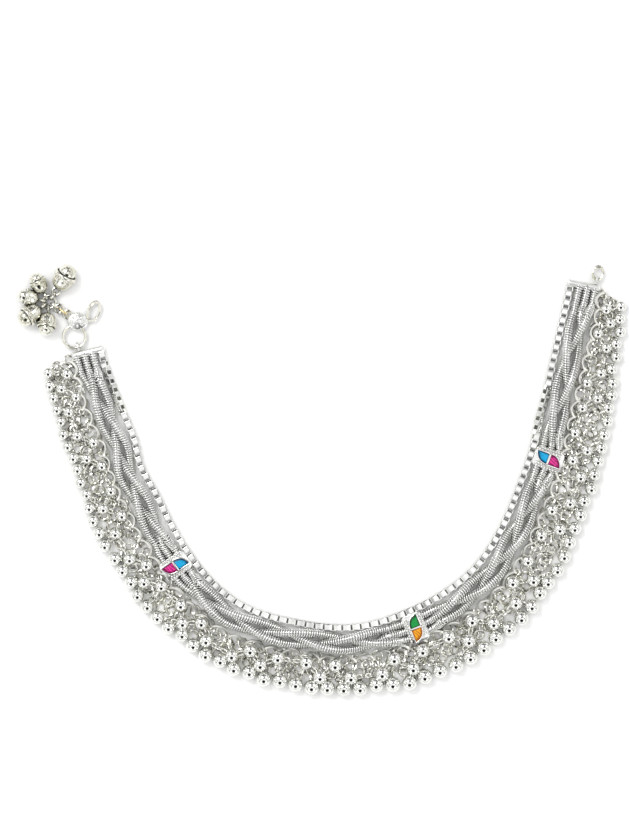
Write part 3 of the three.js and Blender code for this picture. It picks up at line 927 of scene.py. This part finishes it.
def buildEndPlate(name):
    eye = eyeLook[name]
    s = eye["s"]
    inner = sectionAt(chainColumn, s) - endLook["inner"]
    outer = sectionAt(braidColumn, s) + endLook["outer"]
    side = -1 if name == "hook" else 1
    bm = newShape()
    bmesh.ops.create_cube(bm, size=1)
    size = (endLook["along"], outer - inner, endLook["thick"])
    bmesh.ops.scale(bm, vec=size, verts=bm.verts)
    bevelEdges(bm, bm.edges[:], endLook["edge"], 4)
    middle = bandMatrix(s, (inner + outer) / 2, endLook["thick"] / 2)
    place = middle @ Matrix.Translation((side * endLook["along"] / 2, 0, 0))
    bmesh.ops.transform(bm, matrix=place, verts=bm.verts)
    past = Matrix.Translation((side * (endLook["along"] + eye["reach"]), 0, 0))
    stands = bandMatrix(s, eye["outward"], claspLook["height"]) @ past
    stamp(bm, claspRing(eye["radius"]), stands @ upright)
    node = "end_plate_" + name
    finishPiece(bm, node + "_bar", node, "silver", silver["satin"])


for endName in eyeLook:
    buildEndPlate(endName)
print("end plates made")

# Hook: a round loop, an embossed oval disc and an open oval hook in one piece. Each
# place is on the table, and the loop's is followed by its radius. The disc's profile
# runs over its back, edge and front, as radius and height.
hookLook = {
    "wire": 0.46, "loop": (-74.2, 43.95, 3.35), "disc": (-73.2, 48.6), "flat": 0.86,
    "profile": ((0, -0.6), (2.6, -0.6), (2.95, -0.35), (3.15, 0.0), (3.05, 0.3), (2.8, 0.5),
                (2.5, 0.55), (2.3, 0.62), (1.9, 0.78), (1.2, 0.95), (0.6, 1.02), (0, 1.05)),
    "grain": 0.5, "petals": 8, "petalPlace": (1.6, 0.0, 0.72), "petalSize": (1.4, 0.9, 1.0),
    "rimTurn": 0.39, "rimPlace": (2.7, 0.0, 0.42), "rimSize": 0.6, "knobHeight": 0.9, "knobSize": 1.2,
    "oval": (-68.4, 51.6), "long": 2.95, "short": 1.6, "tilt": 1.22, "open": 0.55, "ovalSteps": 16,
    "tip": 1.15, "earReach": 3.6, "ringHeading": math.radians(146), "ringStep": 1.6,
}


def ringPlace(index):  # along the line from the disc, 0 for its ear
    reach = hookLook["earReach"] + index * hookLook["ringStep"]
    return Vector((*hookLook["disc"], claspLook["height"])) + headed(hookLook["ringHeading"], reach)


def hookOvalPath():
    look = hookLook
    points = [Vector((*look["disc"], claspLook["height"]))]
    for i in range(look["ovalSteps"] + 1):
        angle = math.pi + look["open"] + i * 2 * (math.pi - look["open"]) / look["ovalSteps"]
        along, across = look["long"] * math.cos(angle), look["short"] * math.sin(angle)
        x = look["oval"][0] + along * math.cos(look["tilt"]) - across * math.sin(look["tilt"])
        y = look["oval"][1] + along * math.sin(look["tilt"]) + across * math.cos(look["tilt"])
        points.append(Vector((x, y, claspLook["height"])))
    return smoothPath(points, 4)


def embossDisc(bm, place):  # a flower of petals with a knob, and small grains near the rim
    look = hookLook
    grain = sphereMesh(look["grain"], 12, 8)
    petal = Matrix.Translation(look["petalPlace"]) @ Matrix.Diagonal((*look["petalSize"], 1))
    for i in range(look["petals"]):
        angle = i * 2 * math.pi / look["petals"]
        stamp(bm, grain, place @ Matrix.Rotation(angle, 4, "Z") @ petal, 1)
        spot = Matrix.Rotation(angle + look["rimTurn"], 4, "Z") @ Vector(look["rimPlace"])
        stamp(bm, grain, place @ Matrix.Translation(spot) @ Matrix.Scale(look["rimSize"], 4), 1)
    knob = Matrix.Translation((0, 0, look["knobHeight"])) @ Matrix.Scale(look["knobSize"], 4)
    stamp(bm, grain, place @ knob, 1)


def buildHook():
    look = hookLook
    bm = newShape()
    middle = Matrix.Translation((*look["disc"], claspLook["height"]))
    place = middle @ Matrix.Scale(look["flat"], 4, (0, 1, 0))
    stamp(bm, latheMesh(look["profile"], 40), place, 1)
    embossDisc(bm, place)
    loopX, loopY, loopRadius = look["loop"]
    loop = torusMesh(loopRadius, look["wire"], 1.0, 44, 12)
    stamp(bm, loop, Matrix.Translation((loopX, loopY, claspLook["height"])))
    path = hookOvalPath()
    bm.from_mesh(wireMesh([path], look["wire"], resolution=3))
    stamp(bm, sphereMesh(look["wire"] * look["tip"], 14, 10), Matrix.Translation(path[-1]))
    stamp(bm, claspRing(claspLook["small"]), Matrix.Translation(ringPlace(0)))
    finishPiece(bm, "hook_with_disc", "hook", "silver", silver["bell"], silver["stamped"])


buildHook()
print("hook made")

# Rings from the hook's ear to the bells, each through the next. The grip is how far from
# the big ring's middle a bell's eye hangs, and the link is what one ring more adds.
ringLook = {"radius": 1.9, "grip": 2.15, "link": 1.55}


def addRing(name, place, radius, heading=None, slotName="silver", material=silver["bell"]):
    turn = Matrix.Identity(4) if heading is None else Matrix.Rotation(heading, 4, "Z") @ upright
    bm = newShape()
    stamp(bm, claspRing(radius), Matrix.Translation(place) @ turn)
    finishPiece(bm, name + "_wire", name, slotName, material)


def aroundBigRing(reach, heading):
    middle = ringPlace(3) + headed(hookLook["ringHeading"], ringLook["radius"])
    return middle + headed(heading, reach)


def buildRings():  # one with a heading stands, one without lies flat
    heading = hookLook["ringHeading"]
    small = claspLook["small"]
    addRing("gilt_ring", ringPlace(1), small, heading, "gilt_ring", giltWire)
    addRing("jump_ring_flat", ringPlace(2), small)
    addRing("jump_ring_standing", ringPlace(3), small, heading)
    addRing("bell_ring", aroundBigRing(0, 0), ringLook["radius"])
    angle = math.radians(bellLook["bells"][0][0])
    addRing("jump_ring_bell", aroundBigRing(ringLook["grip"], angle), small, angle)


# Bells, each by its heading in degrees and its size. The first hangs on a ring of its own.
# The profile runs over the cup's outside and back along its inside, as radius and height.
# A row of beads goes round the mouth, and a ball with a wire collar sits in it.
bellLook = {
    "bells": ((57, 1.34), (119, 1.06), (167, 1.04), (215, 1.24), (265, 1.14)),
    "eye": 1.1, "mouth": 2.65, "length": 3.8,
    "profile": ((0, 0), (0.7, 0.05), (1.4, 0.35), (1.95, 0.95), (2.25, 1.7), (2.35, 2.5),
                (2.4, 3.2), (2.55, 3.4), (2.62, 3.65), (2.54, 3.9), (2.35, 4.05), (2.2, 3.95),
                (2.15, 3.0), (1.95, 1.8), (1.3, 1.0), (0, 0.85)),
    "beads": 24, "bead": 0.27, "beadRing": 2.3, "beadAt": 3.05, "ball": 1.95, "ballAt": 4.2,
    "collar": 1.5, "collarWire": 0.15, "collarAt": 5.45,
}


def bellMesh():  # crown at the origin, mouth up
    look = bellLook
    bm = newShape()
    bm.from_mesh(latheMesh(look["profile"], 36))
    stamp(bm, sphereMesh(look["ball"], 28, 18), Matrix.Translation((0, 0, look["ballAt"])))
    collar = torusMesh(look["collar"], look["collarWire"], 1.0, 28, 6)
    stamp(bm, collar, Matrix.Translation((0, 0, look["collarAt"])))
    bead = sphereMesh(look["bead"], 10, 6)
    out = Matrix.Translation((look["beadRing"], 0, look["beadAt"]))
    for i in range(look["beads"]):
        stamp(bm, bead, Matrix.Rotation(i * 2 * math.pi / look["beads"], 4, "Z") @ out)
    return toMesh(bm)


def buildBell(index, bell, degrees, size):
    angle = math.radians(degrees)
    linked = index == 0
    drop = bellLook["mouth"] * size - claspLook["height"]
    rise = math.asin(drop / (bellLook["length"] * size + claspLook["small"]))
    place = aroundBigRing(ringLook["grip"] + (ringLook["link"] if linked else 0), angle)
    outward = Matrix.Translation(place) @ Matrix.Rotation(angle, 4, "Z")
    bm = newShape()
    stamp(bm, claspRing(bellLook["eye"]), outward @ (Matrix.Identity(4) if linked else upright))
    crown = Matrix.Translation((claspLook["small"], 0, 0)) @ Matrix.Rotation(quarterTurn, 4, "Y")
    lie = outward @ Matrix.Rotation(-rise, 4, "Y") @ crown @ Matrix.Scale(size, 4)
    stamp(bm, bell, lie)
    node = f"bell_{index + 1}"
    finishPiece(bm, node + "_cup", node, "silver", silver["bell"])


endRingLook = {"radius": 1.5, "stretch": 1.35}


def buildEndRing():
    radius, stretch = endRingLook["radius"], endRingLook["stretch"]
    eye = eyeLook["ring"]
    past = endLook["along"] + eye["reach"] + radius * stretch
    bm = newShape()
    place = bandMatrix(band["length"] + past, eye["outward"], claspLook["height"])
    stamp(bm, claspRing(radius, stretch), place)
    finishPiece(bm, "end_ring_wire", "end_ring", "silver", silver["bell"])


buildRings()
oneBell = bellMesh()
for bellIndex, (bellDegrees, bellSize) in enumerate(bellLook["bells"]):
    buildBell(bellIndex, oneBell, bellDegrees, bellSize)
buildEndRing()
print("rings and bells made")

# Table, light and camera
stageLook = {
    "tableSize": 3.0, "tableColour": (0.95, 0.95, 0.95), "tableShade": 0.99,
    "worldStrength": 1.2, "wallLight": 0.34, "roofLight": 0.84, "wallTop": 0.2,
    "keyPlace": (-0.35, 0.45, 0.8), "keySize": 0.4, "keyPower": 2.5,
    "fillPlace": (0.0, 0.0, 1.6), "fillSize": 2.5, "fillPower": 10.0,
    "cameraHeight": 0.8, "viewHigh": 0.2496, "viewCentre": (-0.00172, 0.01856),
}
# The studio's tent: bright and dark places by heading and fall from overhead in degrees,
# half their width, and how much they multiply the light. Streaks by heading, width and share.
studioPatches = (
    (128, 40, 17, 2.2), (40, 50, 13, 2.0), (-50, 60, 12, 2.2), (-128, 62, 12, 2.0), (0, 12, 9, 1.5),
    (-90, 35, 24, 0.01), (2, 44, 8, 0.25), (178, 46, 8, 0.25), (75, 66, 8, 0.2), (105, 66, 8, 0.2),
    (-25, 68, 9, 0.3), (205, 68, 9, 0.3),
)
studioStreaks = ((90, 0.12, 0.9), (64, 0.08, 0.85), (116, 0.08, 0.85), (38, 0.06, 0.6), (142, 0.06, 0.6))


def directionShare(tree, direction, toward):  # how far a direction points toward another
    dot = addNode(tree, "ShaderNodeVectorMath", operation="DOT_PRODUCT")
    tree.links.new(direction, dot.inputs[0])
    dot.inputs[1].default_value = toward
    return dot.outputs["Value"]


def buildWorld():
    world = bpy.data.worlds.new("studio")
    bpy.context.scene.world = world
    world.use_nodes = True
    tree = world.node_tree
    direction = addNode(tree, "ShaderNodeTexCoord").outputs["Generated"]
    rise = directionShare(tree, direction, (0, 0, 1))
    look = stageLook
    light = remap(tree, rise, 0.0, look["wallTop"], look["wallLight"], look["roofLight"])
    for heading, fall, size, gain in studioPatches:
        h, f = math.radians(heading), math.radians(fall)
        toward = (math.cos(h) * math.sin(f), math.sin(h) * math.sin(f), math.cos(f))
        inside = math.cos(math.radians(size * 0.8))
        outside = math.cos(math.radians(size * 1.2))
        share = directionShare(tree, direction, toward)
        light = combine(tree, "MULTIPLY", light, remap(tree, share, outside, inside, 1.0, gain))
    for heading, width, depth in studioStreaks:
        h = math.radians(heading)
        across = directionShare(tree, direction, (math.sin(h), -math.cos(h), 0.0))
        ahead = directionShare(tree, direction, (math.cos(h), math.sin(h), 0.0))
        aside = combine(tree, "ABSOLUTE", across, 0.0)
        line = remap(tree, aside, width * 0.5, width * 1.5, depth, 0.0)
        dark = combine(tree, "MULTIPLY", line, remap(tree, ahead, 0.15, 0.35, 0.0, 1.0))
        light = combine(tree, "MULTIPLY", light, combine(tree, "SUBTRACT", 1.0, dark))
    background = tree.nodes["Background"]
    background.inputs["Strength"].default_value = look["worldStrength"]
    tree.links.new(light, background.inputs["Color"])


def buildTable():
    bm = newShape()
    bmesh.ops.create_grid(bm, x_segments=1, y_segments=1, size=stageLook["tableSize"] / 2)
    mesh = toMesh(bm, "table_top")
    table = bpy.data.objects.new("table_top", mesh)
    bpy.context.scene.collection.objects.link(table)
    material, tree, shader, place = startMaterial("paleTable")
    grain = remap(tree, noiseOf(tree, place, 40.0), 0.3, 0.7, 0.0, 1.0)
    tone = stageLook["tableColour"]
    shade = tuple(value * stageLook["tableShade"] for value in tone)
    tree.links.new(mixColour(tree, grain, tone, shade), shader.inputs["Base Color"])
    shader.inputs["Roughness"].default_value = 0.85
    mesh.materials.append(material)


def buildLamp(name, place, size, power, mirrored):
    lamp = bpy.data.lights.new(name, "AREA")
    lamp.shape = "DISK"
    lamp.size = size
    lamp.energy = power
    holder = bpy.data.objects.new(name, lamp)
    holder.location = Vector(place)
    holder.rotation_euler = (-Vector(place)).to_track_quat("-Z", "Y").to_euler()
    holder.visible_glossy = mirrored
    bpy.context.scene.collection.objects.link(holder)


def buildCamera():
    camera = bpy.data.cameras.new("camera")
    camera.sensor_width = 36.0
    camera.lens = 36.0 * stageLook["cameraHeight"] / stageLook["viewHigh"]
    camera.clip_start = 0.01
    camera.clip_end = 20.0
    holder = bpy.data.objects.new("camera", camera)
    holder.location = (*stageLook["viewCentre"], stageLook["cameraHeight"])
    bpy.context.scene.collection.objects.link(holder)
    bpy.context.scene.camera = holder


buildWorld()
buildTable()
buildLamp("softKey", stageLook["keyPlace"], stageLook["keySize"], stageLook["keyPower"], True)
buildLamp("wideFill", stageLook["fillPlace"], stageLook["fillSize"], stageLook["fillPower"], False)
buildCamera()
bpy.context.scene.view_settings.view_transform = "Standard"
print("table, light and camera made")
